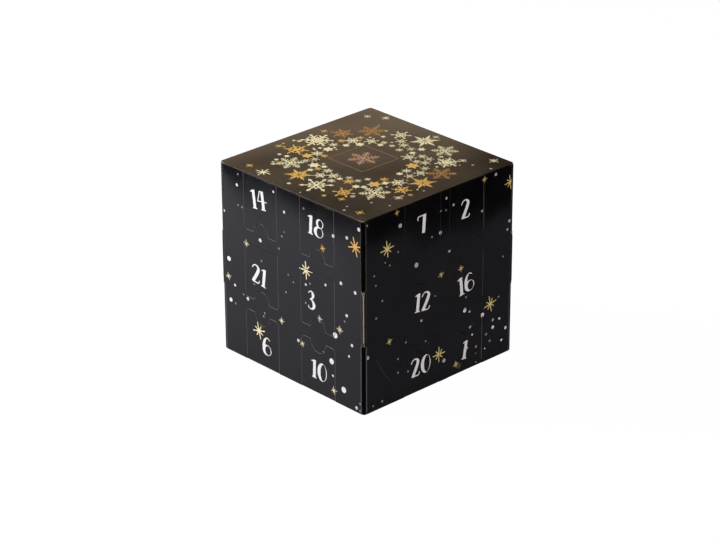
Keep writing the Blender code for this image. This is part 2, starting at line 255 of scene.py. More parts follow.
# Folding box board, clay coated. Its outside is printed in solid black and sealed with a water-based
# varnish: dark, with a silky sheen; on the lid the black is painted dark brown, a painted warm light.
# Its back and its cut edges are bare, warm grey and fibrous.
board = {
    "wallInk": ("#080709", "#0d0c0e"),      # solid ink, and where it lies thinner
    # the lid's black, painted dark brown: painted warm light
    "warmLitLidInk": ("#1b140e", "#251c14"),
    "bare": ("#bdb2a3", "#94897a"),         # between and along its fibre bundles
    "lidEdge": ("#4e4740", "#352f2a"),      # the lid's raw edge, brown with ink
    "cutEdge": ("#a8a4aa", "#6a666c"),      # edges of the door cuts, grey with ink that the die drags in
    "shadedSideCutEdge": ("#2d2b2f", "#1a181b"),  # and on the right and left walls, nearly black: painted shade
    "cornerWearAndHighlight": 5,            # how far from the lid's corners its raw edge is paler: wear, and a painted highlight
    "wallRoughness": (0.1, 0.18),           # varies in clouds
    "lidRoughness": (0.21, 0.29),
    "bareRoughness": 0.88,
    "varnishGloss": 0.4,        # specular level
    "ply": 0.03,                # depth of the printed layer
    "stripPly": 0.045,          # and on the bowed strips of the corners
    "backGap": 0.00003,         # from the board's back to where its cut edges begin
    "cloud": 26,                # patches of thinner ink
    "cloudSpan": (0.35, 0.68),
    "fibre": 0.35,              # fibres of the bare board, drawn coarse
    "peel": 0.9,                # grain of the board that shows through the varnish
    "peelHeight": 0.006,
    "bow": 34,                  # slow waves of the sheet
    "bowHeight": 0.5,
    "rubAndHighlight": 0.24,                # along a crease or an edge most of the ink rubbed off, which also paints a highlight there
    "rubAndHighlightReach": 0.35,
    "rubAndHighlightSpan": (0.48, 0.62),
}


# Where the board is printed, and the distance to its nearest crease or edge. After that, on the lid where
# its edge is paler near the corners, wear and a painted highlight, and on the walls where a door cut is
# near and whether it is in a side wall, whose cut edges are painted in shade.
def boardMask(add, place, lid):
    ply = board["ply"] * mm
    x, y, z = add("SeparateXYZ", {0: add("VectorMath", {0: place}, operation="ABSOLUTE")}).outputs
    widest = add("Math", {0: x, 1: y}, operation="MAXIMUM")
    narrow = add("Math", {0: x, 1: y}, operation="MINIMUM")
    if lid:     # only the top face is printed
        # the raw edge paler near the lid's corners: wear, and a painted highlight
        reach = board["cornerWearAndHighlight"]
        return (add("Math", {0: z, 1: 2 * half * mm - ply}, operation="GREATER_THAN"),
                add("Math", {0: half * mm, 1: widest}, operation="SUBTRACT"),
                add("Math", {0: narrow, 1: 1 / (reach * mm), 2: 1 - half / reach}, operation="MULTIPLY_ADD"))

    # the outsides of the walls, the upright corner strips, the base and the top folds
    top = box["foldHeight"] * mm
    slope = box["spineRidge"] / (box["spineLeg"] - box["spineRidge"])
    past = add("Math", {0: narrow, 1: (half - box["spineLeg"]) * mm}, operation="SUBTRACT")
    strip = add("Math", {0: past, 1: slope, 2: widest}, operation="MULTIPLY_ADD")
    printed = add("Math", {0: widest, 1: half * mm - ply}, operation="GREATER_THAN")
    for operation, inputs in (("COMPARE", {0: strip, 1: half * mm, 2: board["stripPly"] * mm}),
                              ("LESS_THAN", {0: z, 1: ply}), ("GREATER_THAN", {0: z, 1: top - ply})):
        printed = add("Math", {0: printed, 1: add("Math", inputs, operation=operation)}, operation="MAXIMUM")

    below = add("Math", {0: top, 1: z}, operation="SUBTRACT")
    edge = z
    for distance in (below, past):
        distance = add("Math", {0: distance}, operation="ABSOLUTE")
        edge = add("Math", {0: edge, 1: distance}, operation="MINIMUM")

    back = (half - box["board"] + board["backGap"]) * mm
    outer = add("Math", {0: widest, 1: back}, operation="GREATER_THAN")
    inner = add("Math", {0: narrow, 1: (half - 2 * box["spineLeg"]) * mm}, operation="LESS_THAN")
    nearCut = add("Math", {0: outer, 1: inner}, operation="MULTIPLY")
    shadedSideWall = add("Math", {0: x, 1: y}, operation="GREATER_THAN")
    return printed, edge, nearCut, shadedSideWall


def boardMaterial(name, ink, roughness, lid=False):
    material, add = newMaterial(name)
    place = add("TexCoord").outputs["Object"]
    printed, edge, *marks = boardMask(add, place, lid)
    cloud = add("TexNoise", {"Vector": place, "Scale": 1 / (board["cloud"] * mm), "Detail": 5})
    low, high = board["cloudSpan"]
    thin = add("MapRange", {"Value": cloud, "From Min": low, "From Max": high})
    ink = add("Mix", {"Factor": thin, "A": ink[0], "B": ink[1]}, data_type="RGBA")

    fibre = add("TexNoise", {"Vector": place, "Scale": 1 / (board["fibre"] * mm), "Detail": 3,
                             "Distortion": 1.5})

    def fibrous(key):
        return add("Mix", {"Factor": fibre, "A": board[key][0], "B": board[key][1]}, data_type="RGBA")

    if lid:
        bare = add("Mix", {"Factor": marks[0], "A": fibrous("lidEdge"), "B": fibrous("bare")},
                   data_type="RGBA")
    else:
        # cut edges on the right and left walls nearly black: painted shade
        cut = add("Mix", {"Factor": marks[1], "A": fibrous("cutEdge"), "B": fibrous("shadedSideCutEdge")},
                  data_type="RGBA")
        bare = add("Mix", {"Factor": marks[0], "A": fibrous("bare"), "B": cut}, data_type="RGBA")

    # the ink is rubbed a little where the board is creased, and this paler line also paints a highlight there
    near = add("MapRange", {"Value": edge, "From Min": 0, "From Max": board["rubAndHighlightReach"] * mm,
                            "To Min": 1, "To Max": 0})
    low, high = board["rubAndHighlightSpan"]
    patchy = add("MapRange", {"Value": fibre, "From Min": low, "From Max": high, "To Max": board["rubAndHighlight"]})
    rubAndHighlight = add("Math", {0: near, 1: patchy}, operation="MULTIPLY")
    ink = add("Mix", {"Factor": rubAndHighlight, "A": ink, "B": bare}, data_type="RGBA")
    colour = add("Mix", {"Factor": printed, "A": bare, "B": ink}, data_type="RGBA")

    varnish = add("MapRange", {"Value": cloud, **noiseSpan, "To Min": roughness[0], "To Max": roughness[1]})
    roughness = add("Mix", {"Factor": printed, "A": board["bareRoughness"], "B": varnish})

    peel = add("TexNoise", {"Vector": place, "Scale": 1 / (board["peel"] * mm), "Detail": 2})
    peel = add("Math", {0: peel, 1: board["peelHeight"]}, operation="MULTIPLY")
    bow = add("TexNoise", {"Vector": place, "Scale": 1 / (board["bow"] * mm), "Detail": 0})
    height = add("Math", {0: bow, 1: board["bowHeight"], 2: peel}, operation="MULTIPLY_ADD")
    addFinish(add, colour, roughness, height, 1, {"Specular IOR Level": board["varnishGloss"]})
    return material


# Prints: thin films on the varnish, with the board's grain showing through. Colour, metallic, roughness
# and specular level.
inks = {
    # ultraviolet-cured white, screen printed: dense, flat and almost matt
    "whiteInk": ("#f4f2f3", 0, 0.5, 0.5),
    # the same white printed thinner, so that the black shows through
    "softWhiteInk": ("#dcdadd", 0, 0.5, 0.5),
    "hazyWhiteInk": ("#b4afb3", 0, 0.5, 0.5),
    "thinWhiteInk": ("#827f85", 0, 0.5, 0.5),
    # hot-stamped foil in several shades: metal bright, softened by the grain of the board
    "paleGoldFoil": ("#fef4c4", 0.18, 0.42, 0.5),
    "strawFoil": ("#efdc8e", 0.25, 0.4, 0.5),
    "goldFoil": ("#f5c562", 0.3, 0.4, 0.5),
    "copperFoil": ("#c08a45", 0.45, 0.4, 0.5),
    "roseFoil": ("#cda07f", 0.4, 0.42, 0.5),
    "umberFoil": ("#80664a", 0.3, 0.42, 0.5),
    # painted shade: darker black with almost no sheen on the corner strips; grey along their lower creases,
    # rubbed and a painted highlight
    "shadedStripInk": ("#030303", 0, 0.55, 0.02),
    "rubbedAndLitCreaseInk": ("#4b4a55", 0, 0.4, 0.5),
    # a dull rub mark in the varnish, and pale lines along a door's edge: painted highlight
    "rubMark": ("#3b393d", 0, 0.65, 0.5),
    "doorEdgeHighlight": ("#7d7a7e", 0, 0.7, 0.5),
}
inkFilm = {
    "grain": 0.5,               # of the board under it
    "grainHeight": 0.008,
    "worn": 0.82,               # what is left of the colour on the grain's high spots
    "drift": (-0.06, 0.08),     # how far the roughness wanders
}


def inkMaterial(name):
    colour, metallic, roughness, gloss = inks[name]
    material, add = newMaterial(name)
    place = add("TexCoord").outputs["Object"]
    grain = add("TexNoise", {"Vector": place, "Scale": 1 / (inkFilm["grain"] * mm), "Detail": 3})
    worn = (*(channel * inkFilm["worn"] for channel in hexColour(colour)[:3]), 1)
    tint = add("MapRange", {"Value": grain, **noiseSpan})
    tone = add("Mix", {"Factor": tint, "A": colour, "B": worn}, data_type="RGBA")
    low, high = inkFilm["drift"]
    roughness = add("MapRange", {"Value": grain, **noiseSpan, "To Min": roughness + low,
                                 "To Max": roughness + high})
    addFinish(add, tone, roughness, grain, inkFilm["grainHeight"],
              {"Metallic": metallic, "Specular IOR Level": gloss})
    return material


# Metallised polystyrene sheet, vacuum formed: thin mirror-like gold, dulled where it was stretched. Its flat
# flange is painted dark brown, a painted shade, which keeps the slits round the closed doors dark.
tray = {
    "gold": "#d9a441",
    "deep": "#b57f2b",
    "stretch": 6,               # patches of the deeper gold
    "roughness": (0.18, 0.34),
    "ripple": 5,
    "rippleHeight": 0.05,
    # painted shade on the flange just behind the walls
    "flange": "#5c4520",
    "flangeDepth": 1,           # behind the outside of the wall
}


def trayMaterial():
    material, add = newMaterial("vacuumFormedGoldSheet")
    place = add("TexCoord").outputs["Object"]
    stretch = add("TexNoise", {"Vector": place, "Scale": 1 / (tray["stretch"] * mm), "Detail": 4})
    tone = add("Mix", {"Factor": stretch, "A": tray["gold"], "B": tray["deep"]}, data_type="RGBA")
    x, y, _ = add("SeparateXYZ", {0: add("VectorMath", {0: place}, operation="ABSOLUTE")}).outputs
    widest = add("Math", {0: x, 1: y}, operation="MAXIMUM")
    # the flange just behind the walls, painted dark brown: painted shade
    flange = add("Math", {0: widest, 1: (half - tray["flangeDepth"]) * mm}, operation="GREATER_THAN")
    tone = add("Mix", {"Factor": flange, "A": tone, "B": tray["flange"]}, data_type="RGBA")
    low, high = tray["roughness"]
    roughness = add("MapRange", {"Value": stretch, "To Min": low, "To Max": high})
    ripple = add("TexNoise", {"Vector": place, "Scale": 1 / (tray["ripple"] * mm), "Detail": 1})
    addFinish(add, tone, roughness, ripple, tray["rippleHeight"], {"Metallic": 1})
    return material


# Milk chocolate, cast in a polished mould: satin, a little translucent, with a breath of pale bloom
chocolate = {
    "brown": "#5b3420",
    "dark": "#43230f",
    "swirl": 7,                 # streaks of the pour
    "bloom": "#7a5640",
    "bloomSpan": (0.5, 0.8),
    "bloomMost": 0.35,
    "roughness": (0.28, 0.48),
    "pit": 0.8,
    "pitHeight": 0.05,
    "scatter": 0.08,            # how much light goes in, and how far its red, green and blue get
    "scatterReach": (4, 1.5, 0.8),
    "sheen": 0.15,              # the skin that the mould polishes
    "sheenRoughness": 0.3,
}


def chocolateMaterial():
    material, add = newMaterial("castMilkChocolate")
    place = add("TexCoord").outputs["Object"]
    swirl = add("TexNoise", {"Vector": place, "Scale": 1 / (chocolate["swirl"] * mm), "Detail": 4,
                             "Distortion": 0.8})
    tone = add("Mix", {"Factor": swirl, "A": chocolate["dark"], "B": chocolate["brown"]}, data_type="RGBA")
    low, high = chocolate["bloomSpan"]
    haze = add("MapRange", {"Value": swirl, "From Min": low, "From Max": high,
                            "To Max": chocolate["bloomMost"]})
    tone = add("Mix", {"Factor": haze, "A": tone, "B": chocolate["bloom"]}, data_type="RGBA")
    low, high = chocolate["roughness"]
    roughness = add("MapRange", {"Value": swirl, "To Min": low, "To Max": high})
    pit = add("TexNoise", {"Vector": place, "Scale": 1 / (chocolate["pit"] * mm), "Detail": 4})
    addFinish(add, tone, roughness, pit, chocolate["pitHeight"], {
        "Subsurface Weight": chocolate["scatter"],
        "Subsurface Radius": [reach * mm for reach in chocolate["scatterReach"]],
        "Subsurface Scale": 1,
        "Coat Weight": chocolate["sheen"],
        "Coat Roughness": chocolate["sheenRoughness"],
    })
    return material


wallBoard = boardMaterial("varnishedBlackBoard", board["wallInk"], board["wallRoughness"])
# the lid's board, its ink painted brown: painted warm light
lidBoard = boardMaterial("varnishedBoardWarmLitLid", board["warmLitLidInk"], board["lidRoughness"], lid=True)
goldSheet = trayMaterial()
milkChocolate = chocolateMaterial()
inkMaterials = {name: inkMaterial(name) for name in inks}
print("materials made")


# The CAD nodes keep their shape. A die-cut or moulded edge is never quite sharp: its width and segments.
easing = {"board": (0.07, 1), "chocolate": (0.25, 2), "angle": 35, "weld": 0.002}


def dress(name, material, edge=None):
    node = nodes[name]
    node.data.materials.clear()
    node.data.materials.append(material)
    weld = node.modifiers.new("weld", "WELD")
    weld.merge_threshold = easing["weld"] * mm
    if edge:
        ease = node.modifiers.new("ease", "BEVEL")
        ease.width = edge[0] * mm
        ease.segments = edge[1]
        ease.limit_method = "ANGLE"
        ease.angle_limit = radians(easing["angle"])
        ease.harden_normals = True


for name in nodes:
    if name.startswith("tray_"):
        dress(name, goldSheet)
    elif name.startswith("chocolate_"):
        dress(name, milkChocolate, easing["chocolate"])
    else:
        dress(name, lidBoard if name == "top_panel" else wallBoard, easing["board"])
print("CAD nodes dressed")


# Outlines for the prints: lists of points, anticlockwise

def oval(x, y, across, up, steps=28):
    turns = [2 * pi * step / steps for step in range(steps)]
    return [(x + across * cos(turn), y + up * sin(turn)) for turn in turns]


def disc(x, y, radius, steps=14):
    return oval(x, y, radius, radius, steps)


def ordered(outline):
    area = sum(a[0] * b[1] - b[0] * a[1] for a, b in zip(outline, outline[1:] + outline[:1]))
    return outline if area > 0 else outline[::-1]


# A stroke of changing width through control points (x, y, width), smoothed between them
def stroke(controls, steps=5):
    spine = []
    for index in range(len(controls) - 1):
        four = [controls[max(0, min(len(controls) - 1, index + shift))] for shift in (-1, 0, 1, 2)]
        for step in range(steps):
            t = step / steps
            weights = (-t + 2 * t * t - t ** 3, 2 - 5 * t * t + 3 * t ** 3,
                       t + 4 * t * t - 3 * t ** 3, t ** 3 - t * t)
            spine.append(tuple(sum(w * p[axis] for w, p in zip(weights, four)) / 2 for axis in range(3)))
    spine.append(controls[-1])
    left, right = [], []
    for index, (x, y, width) in enumerate(spine):
        before, after = spine[max(0, index - 1)], spine[min(len(spine) - 1, index + 1)]
        dx, dy = after[0] - before[0], after[1] - before[1]
        scale = width / 2 / sqrt(dx * dx + dy * dy)
        left.append((x - dy * scale, y + dx * scale))
        right.append((x + dy * scale, y - dx * scale))
    return right + left[::-1]


def moved(outline, x, y, scale=1, turn=0, stretch=1):
    c, s = cos(radians(turn)) * scale, sin(radians(turn)) * scale
    return [(x + c * px * stretch - s * py, y + s * px * stretch + c * py) for px, py in outline]


# Numerals of our own in a high-contrast show-card style: fat on the left, hairlines on the right, one unit
# high. Each entry is an outline and 1 where it adds or -1 where it takes away.
numeral = {"height": 11.6, "stretch": 1.2, "gap": 0.8, "stem": 0.16, "hairline": 0.045, "bowlEnds": 0.04}


# A closed bowl, as fat as this on its left
def bowl(x, y, across, up, fat):
    thin = numeral["hairline"]
    return [(oval(x, y, across, up), 1),
            (oval(x + (fat - thin) / 2, y, across - (fat + thin) / 2, up - numeral["bowlEnds"]), -1)]


# An upright stem on its foot
def stem(x):
    end = x + numeral["stem"]
    foot = [(x - 0.07, 0), (end + 0.07, 0), (end + 0.06, 0.03), (end, 0.08), (x, 0.08), (x - 0.06, 0.03)]
    return [([(x, 0), (end, 0), (end, 1), (x, 0.98)], 1), (foot, 1)]


def strokes(*lines):
    return [(stroke(controls), 1) for controls in lines]


def six():
    return bowl(0.28, 0.3, 0.28, 0.3, 0.17) + strokes(
        [(0.085, 0.3, 0.165), (0.09, 0.55, 0.165), (0.14, 0.8, 0.13), (0.25, 0.965, 0.06),
         (0.37, 0.97, 0.045), (0.46, 0.88, 0.045)])


# For each digit its width and its outlines
digits = {
    "0": (0.56, bowl(0.28, 0.5, 0.28, 0.5, 0.18)),
    "1": (0.32, stem(0.11) + [([(0.13, 0.98), (0, 0.89), (0, 0.855), (0.13, 0.88)], 1)]),
    "2": (0.52, strokes(
        [(0.02, 0.75, 0.045), (0.07, 0.88, 0.05), (0.19, 0.97, 0.06), (0.34, 0.93, 0.1), (0.4, 0.77, 0.155),
         (0.3, 0.45, 0.165), (0.16, 0.1, 0.165), (0.13, 0.0, 0.165)],
        [(0.06, 0.03, 0.06), (0.22, 0.035, 0.065), (0.4, 0.03, 0.06), (0.48, 0.08, 0.05),
         (0.5, 0.2, 0.04)])),
    "3": (0.45, strokes(
        [(0.03, 0.84, 0.045), (0.1, 0.95, 0.05), (0.22, 0.96, 0.08), (0.3, 0.82, 0.145), (0.25, 0.63, 0.1),
         (0.11, 0.53, 0.035)],
        [(0.1, 0.54, 0.035), (0.25, 0.49, 0.1), (0.35, 0.28, 0.165), (0.29, 0.08, 0.11),
         (0.16, 0.025, 0.055), (0.04, 0.07, 0.045), (0.01, 0.17, 0.04)])),
    "4": (0.56, stem(0.27) + strokes(
        [(0.32, 0.975, 0.05), (0.19, 0.975, 0.05)],
        [(0.21, 0.99, 0.05), (0.13, 0.75, 0.05), (0.03, 0.44, 0.05)],
        [(0.01, 0.45, 0.05), (0.3, 0.45, 0.05), (0.58, 0.45, 0.05)])),
    "5": (0.47, strokes(
        [(0.07, 0.955, 0.05), (0.22, 0.94, 0.08), (0.42, 0.99, 0.04)],
        [(0.08, 0.96, 0.05), (0.06, 0.53, 0.05)],
        [(0.05, 0.53, 0.04), (0.19, 0.6, 0.055), (0.33, 0.48, 0.13), (0.37, 0.27, 0.165), (0.29, 0.07, 0.11),
         (0.15, 0.025, 0.055), (0.03, 0.08, 0.045), (0.01, 0.19, 0.04)])),
    "6": (0.56, six()),
    "7": (0.46, strokes(
        [(0.03, 0.74, 0.045), (0.0, 0.84, 0.05), (0.05, 0.93, 0.05), (0.2, 0.945, 0.055),
         (0.35, 0.955, 0.06), (0.46, 0.98, 0.05)],
        [(0.375, 0.975, 0.165), (0.375, 0.6, 0.165), (0.37, 0.25, 0.16), (0.36, 0.01, 0.155)])),
    "8": (0.56, bowl(0.33, 0.755, 0.215, 0.245, 0.12) + bowl(0.28, 0.29, 0.28, 0.29, 0.175)),
    "9": (0.56, [([(0.56 - x, 1 - y) for x, y in outline], sign) for outline, sign in six()]),
}


def numberShape(number, x, y, turn):
    scale, stretch = numeral["height"], numeral["stretch"]
    parts = [digits[character] for character in str(number)]
    widths = [width * stretch * scale for width, _ in parts]
    cursor = -(sum(widths) + numeral["gap"] * (len(parts) - 1)) / 2
    shapes = []
    for (_, outlines), width in zip(parts, widths):
        loops = [(ordered(moved(moved(outline, cursor, -scale / 2, scale, 0, stretch), x, y, 1, turn)), sign)
                 for outline, sign in outlines]
        shapes.append({"ink": "whiteInk", "loops": loops})
        cursor += width + numeral["gap"]
    return shapes


# Eight-armed stars: two long lines, two short ones and a small heart
star = {"waist": 0.17, "tip": 0.11, "short": 0.72, "heart": 0.2}


def starShapes(places):
    w, t = star["waist"] / 2, star["tip"] / 2
    shapes = []
    for x, down, radius, turn, ink in places:
        y = box["side"] - down
        loops = [(disc(x, y, radius * star["heart"], 10), 1)]
        for arm in range(8):
            reach = 1 if arm % 2 == 0 else star["short"]
            outline = [(0, -w), (reach, -t), (reach, t), (0, w)]
            loops.append((moved(outline, x, y, radius, turn + 45 * arm), 1))
        shapes.append({"ink": ink, "loops": loops})
    return shapes


def dotShapes(places, ink):
    return [{"ink": ink, "loops": [(disc(x, box["side"] - down, radius), 1)]}
            for x, down, radius in places]


# Six-armed snow crystals of radius 1: the outlines of one arm along +x, which is drawn six times
def bar(x1, y1, x2, y2, w1, w2):
    reach = 2 * sqrt((x2 - x1) ** 2 + (y2 - y1) ** 2)
    nx, ny = (y1 - y2) / reach, (x2 - x1) / reach
    return [(x1 - nx * w1, y1 - ny * w1), (x2 - nx * w2, y2 - ny * w2),
            (x2 + nx * w2, y2 + ny * w2), (x1 + nx * w1, y1 + ny * w1)]


# Pairs of side branches at 60 degrees, each from this far along the arm and this long
def twigs(places, width, taper=0.85):
    return [bar(x, 0, x + 0.5 * reach, side * 0.866 * reach, width, width * taper)
            for x, reach in places for side in (-1, 1)]


crystals = {
    "fern": [bar(0, 0, 1, 0, 0.1, 0.06)]
            + twigs(((0.26, 0.22), (0.46, 0.3), (0.66, 0.24), (0.83, 0.14)), 0.07),
    "leaf": [[(0.05, 0), (0.5, -0.12), (1, 0), (0.5, 0.12)],
             moved([(0.05, 0), (0.34, -0.08), (0.6, 0), (0.34, 0.08)], 0, 0, 1, 30)],
    "bold": [bar(0, 0, 0.96, 0, 0.14, 0.12), disc(0.93, 0, 0.095, 8)]
            + twigs(((0.22, 0.3), (0.5, 0.36)), 0.12),
    "tipped": [bar(0, 0, 0.7, 0, 0.12, 0.09), [(0.6, 0), (0.8, -0.12), (1.02, 0), (0.8, 0.12)]]
              + twigs(((0.3, 0.32),), 0.09),
    "star": [[(0, 0), (0.48, -0.277), (1, 0), (0.48, 0.277)]],
    "spark": [bar(0, 0, 1, 0, 0.2, 0.1)] + twigs(((0.42, 0.3),), 0.12),
}


def crystalShape(x, y, radius, turn, kind, ink):
    loops = [(moved(outline, x, y, radius, turn + 60 * arm), 1)
             for arm in range(6) for outline in crystals[kind]]
    return {"ink": ink, "loops": loops}


# One sheet of print on a face: every outline is cut into flat triangles at once, so that prints don't
# overlap, and those on a door are kept apart from the wall's by the width of its slit
sheet = {
    "proud": 0.03,
    "slitIn": 0.08,             # from a door's outline to its own print, and to the wall's
    "slitOut": 0.34,
    "sharpest": 0.8,            # keeps the offset of a sharp corner short
    "facing": 0.99,             # direction and depth of what counts as the flat outside of a door
    "flat": 0.01,
    "grid": 500,                # corners in the same 500th are one
    "merge": 0.0001,
    "cornerGap": 0.1,           # to the corner strips, and so on
    "baseGap": 0.2,
    "lidFoldGap": 0.5,
    "topFoldGap": 0.1,
    "lidGap": 0.3,
}


def offsetOutline(outline, distance):
    result = []
    for index, (x, y) in enumerate(outline):
        px, py = outline[index - 1]
        qx, qy = outline[(index + 1) % len(outline)]
        a, b = Vector((x - px, y - py)).normalized(), Vector((qx - x, qy - y)).normalized()
        outward = Vector((a.y + b.y, -a.x - b.x))
        shift = distance * 2 / max(outward.length_squared, sheet["sharpest"])
        result.append((x + outward.x * shift, y + outward.y * shift))
    return result


# The outlines of a wall's doors, read from the flat outsides of their nodes
def doorOutlines(wall):
    c, s = wallTurns[wall]
    outlines = {}
    for name, node in nodes.items():
        if not name.startswith("door_"):
            continue
        edges, points = {}, {}
        for face in node.data.polygons:
            centre = face.center / mm
            facing, depth = face.normal.x * s - face.normal.y * c, centre.x * s - centre.y * c
            if facing < sheet["facing"] or depth < half - sheet["flat"]:
                continue
            keys = []
            for index in face.vertices:
                spot = node.data.vertices[index].co / mm
                flat = (spot.x * c + spot.y * s + half, spot.z)
                key = (round(flat[0] * sheet["grid"]), round(flat[1] * sheet["grid"]))
                points[key] = flat
                keys.append(key)
            edges.update(dict.fromkeys(zip(keys, keys[1:] + keys[:1])))
        rim = {start: end for start, end in edges if (end, start) not in edges}
        if rim:
            first = key = next(iter(rim))
            outline = []
            while not outline or key != first:
                outline.append(points[key])
                key = rim[key]
            outlines[name] = ordered(outline)
    return outlines


def printSheet(face, shapes, region):
    loops = [region]
    meaning = [("region", None, 0)]
    for door, outline in (doorOutlines(face) if face in wallTurns else {}).items():
        loops += [offsetOutline(outline, -sheet["slitIn"]), offsetOutline(outline, sheet["slitOut"])]
        meaning += [("door", door, 0), ("slit", door, 0)]
    for order, shape in enumerate(shapes):
        for outline, sign in shape["loops"]:
            loops.append(outline)
            meaning.append(("ink", order, sign))
    points, polygons = [], []
    for loop in loops:
        polygons.append(list(range(len(points), len(points) + len(loop))))
        points += [Vector(point) for point in loop]
    spots, _, triangles, _, _, origins = delaunay_2d_cdt(points, [], polygons, 1, sheet["merge"], True)
    bodies = {}
    for triangle, origin in zip(triangles, origins):
        depth, door, inRegion, inSlit = {}, None, False, False
        for index in origin:
            kind, value, sign = meaning[index]
            if kind == "ink":
                depth[value] = depth.get(value, 0) + sign
            elif kind == "door":
                door = value
            elif kind == "slit":
                inSlit = True
            else:
                inRegion = True
        inked = [order for order, total in depth.items() if total > 0]
        if inked and inRegion and (door or not inSlit):
            bodies.setdefault(door or "root", []).append((triangle, shapes[max(inked)]["ink"]))
    for body, pieces in bodies.items():
        used = [ink for ink in inks if any(ink == other for _, other in pieces)]
        order = list(dict.fromkeys(index for triangle, _ in pieces for index in triangle))
        numbers = {index: number for number, index in enumerate(order)}
        places = [onFace(face, spots[index].x, spots[index].y, sheet["proud"]) for index in order]
        faces = [[numbers[index] for index in triangle] for triangle, _ in pieces]
        piece = addMesh("print_" + (face if body == "root" else body), places, faces,
                        [inkMaterials[ink] for ink in used], [used.index(ink) for _, ink in pieces])
        film = piece.modifiers.new("film", "SOLIDIFY")
        film.thickness = sheet["proud"] * mm
        film.offset = -1
        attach(piece, body)


# The walls' prints: numbers, stars and dots, as x from the left edge and the distance down from the top
frontPrint = {
    "numbers": (
        (14, 33.3, 14.2, 8), (18, 81.2, 15.4, -3), (21, 32.2, 62, -7), (3, 77.5, 62.3, 0), (6, 38, 106, 0),
        (10, 82.8, 105.3, -2)
    ),
    "stars": (
        (113.5, 17.2, 5.8, 16, "goldFoil"), (72.8, 45, 5.6, 4, "paleGoldFoil"),
        (31.3, 98, 5.4, 14, "paleGoldFoil"), (21.8, 45, 2.4, 0, "paleGoldFoil"),
        (87, 26.8, 2.4, 20, "goldFoil"), (83.8, 71.8, 2.4, 8, "paleGoldFoil"),
        (100.5, 72.7, 2.6, 0, "paleGoldFoil"), (5.2, 71.5, 2.4, 16, "paleGoldFoil"),
        (51.3, 84.5, 2.4, 5, "paleGoldFoil"), (68.8, 92.8, 2.3, 30, "paleGoldFoil"),
        (95.3, 113.3, 2.6, 12, "paleGoldFoil")
    ),
    "dots": {
        "whiteInk": (
            (6, 60, 1.5), (96.7, 77.5, 1.8), (6.8, 86.3, 1.3), (93.5, 95.2, 1.8), (103.5, 109.7, 1.9)
        ),
        "softWhiteInk": (
            (14.7, 10.5, 1), (46.2, 5, 0.8), (55, 14.7, 0.9), (95.8, 16.3, 1.1), (106.8, 13.8, 1),
            (116.5, 5.7, 1.2), (2.8, 30.3, 0.8), (34, 39.2, 1.2), (101.8, 43.3, 1.1), (113.3, 45.3, 1.1),
            (89, 48.7, 0.8), (72.5, 54.1, 0.8), (106.3, 61.8, 1), (10.8, 75.5, 0.9), (110.5, 79, 1),
            (22, 80.5, 1.1), (108, 86.7, 0.8), (65.5, 92, 1), (94.5, 104, 0.8), (114, 117.2, 1)
        ),
        "thinWhiteInk": (
            (15.7, 3.5, 0.7), (71.5, 7.3, 0.7), (18.7, 23.2, 0.7), (15.3, 23, 0.6), (54.8, 27.2, 0.5),
            (52.8, 30.5, 0.7), (50, 39, 0.7), (34.8, 52, 0.7), (76, 52.3, 0.7), (57.7, 53, 0.6),
            (62, 56.2, 0.6), (55.5, 64.7, 0.7), (72.2, 65.7, 0.7), (104.5, 66, 0.7), (28, 69, 0.6),
            (18.3, 79, 0.6), (11, 87.3, 0.7), (36.7, 84.8, 0.7), (35.7, 87, 0.7), (86.7, 91.7, 0.7),
            (116.9, 113.6, 0.7), (116.9, 118, 0.7)
        ),
    },
}
